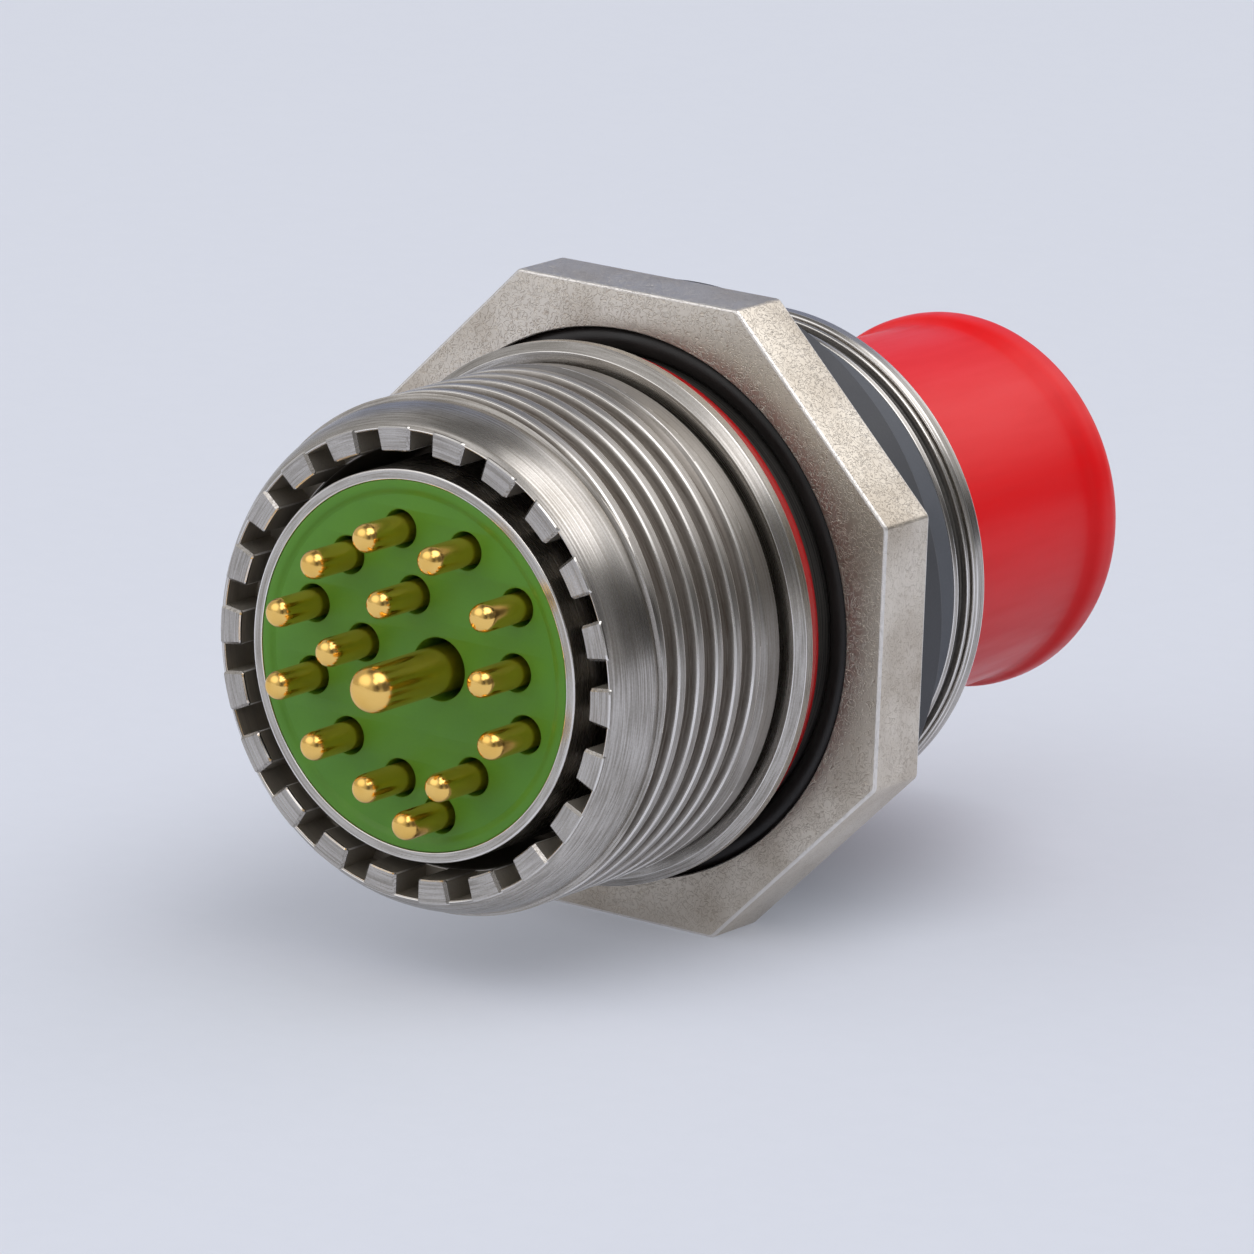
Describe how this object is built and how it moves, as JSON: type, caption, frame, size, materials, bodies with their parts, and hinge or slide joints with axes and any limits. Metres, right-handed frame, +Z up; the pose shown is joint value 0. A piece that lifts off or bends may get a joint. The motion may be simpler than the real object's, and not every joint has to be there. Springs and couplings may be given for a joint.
{
  "type": "jam-nut receptacle",
  "caption": "Round panel receptacle with a slotted mating rim, coupling thread, octagonal jam nut, panel seal, gold pin contacts and a red push-on dust cap.",
  "frame": {"origin": "on the connector axis, in the plane of the mating rim's front edge", "axes": "+Y along the connector axis towards the dust cap, the mating face looks along -Y, +Z up from the nut flat that the part rests on, +X to the right of the mating face"},
  "size_m": [0.0348, 0.0587, 0.0348],
  "materials": {
    "satin_nickel": "satin",
    "nut_nickel": "satin",
    "bright_nickel": "satin",
    "red_band": "gloss",
    "slate_rubber": "matte",
    "black_rubber": "satin",
    "red_cap": "satin",
    "green_rubber": "matte",
    "dark_insulator": "matte",
    "spring_bronze": "satin",
    "gold_plate": "polished"
  },
  "bodies": {
    "receptacle": {"shell": "satin_nickel", "rear_adapter": "satin_nickel", "insert_sleeve": "bright_nickel", "indicator_band": "red_band", "panel_seal": "slate_rubber", "groove_seal": "slate_rubber", "face_seal": "green_rubber", "front_insulator": "dark_insulator", "rear_insulator": "dark_insulator", "wire_grommet": "green_rubber", "compression_ring": "bright_nickel", "contact_clips": "spring_bronze", "contact_01": "gold_plate", "contact_02": "gold_plate", "contact_03": "gold_plate", "contact_04": "gold_plate", "contact_05": "gold_plate", "contact_06": "gold_plate", "contact_07": "gold_plate", "contact_08": "gold_plate", "contact_09": "gold_plate", "contact_10": "gold_plate", "contact_11": "gold_plate", "contact_12": "gold_plate", "contact_13": "gold_plate", "contact_14": "gold_plate", "power_contact": "gold_plate"},
    "nut_seal": {"nut_o_ring": "black_rubber"},
    "jam_nut": {"jam_nut": "nut_nickel"},
    "dust_cap": {"dust_cap": "red_cap"}
  },
  "joints": [
    {"name": "nut_travel", "type": "slide", "parent": "receptacle", "child": "nut_seal", "axis": [0, -1, 0], "range_m": [0, 0.0015]},
    {"name": "nut_turn", "type": "hinge", "parent": "nut_seal", "child": "jam_nut", "pos_m": [0, 0.02025, 0], "axis": [0, -1, 0], "range_deg": [0, 541]},
    {"name": "cap_pull", "type": "slide", "parent": "receptacle", "child": "dust_cap", "axis": [0, 1, 0], "range_m": [0, 0.02]}
  ],
  "couplings": [
    {"joint": "nut_turn", "follows": "nut_travel", "rad_per_m": 6283.2}
  ]
}
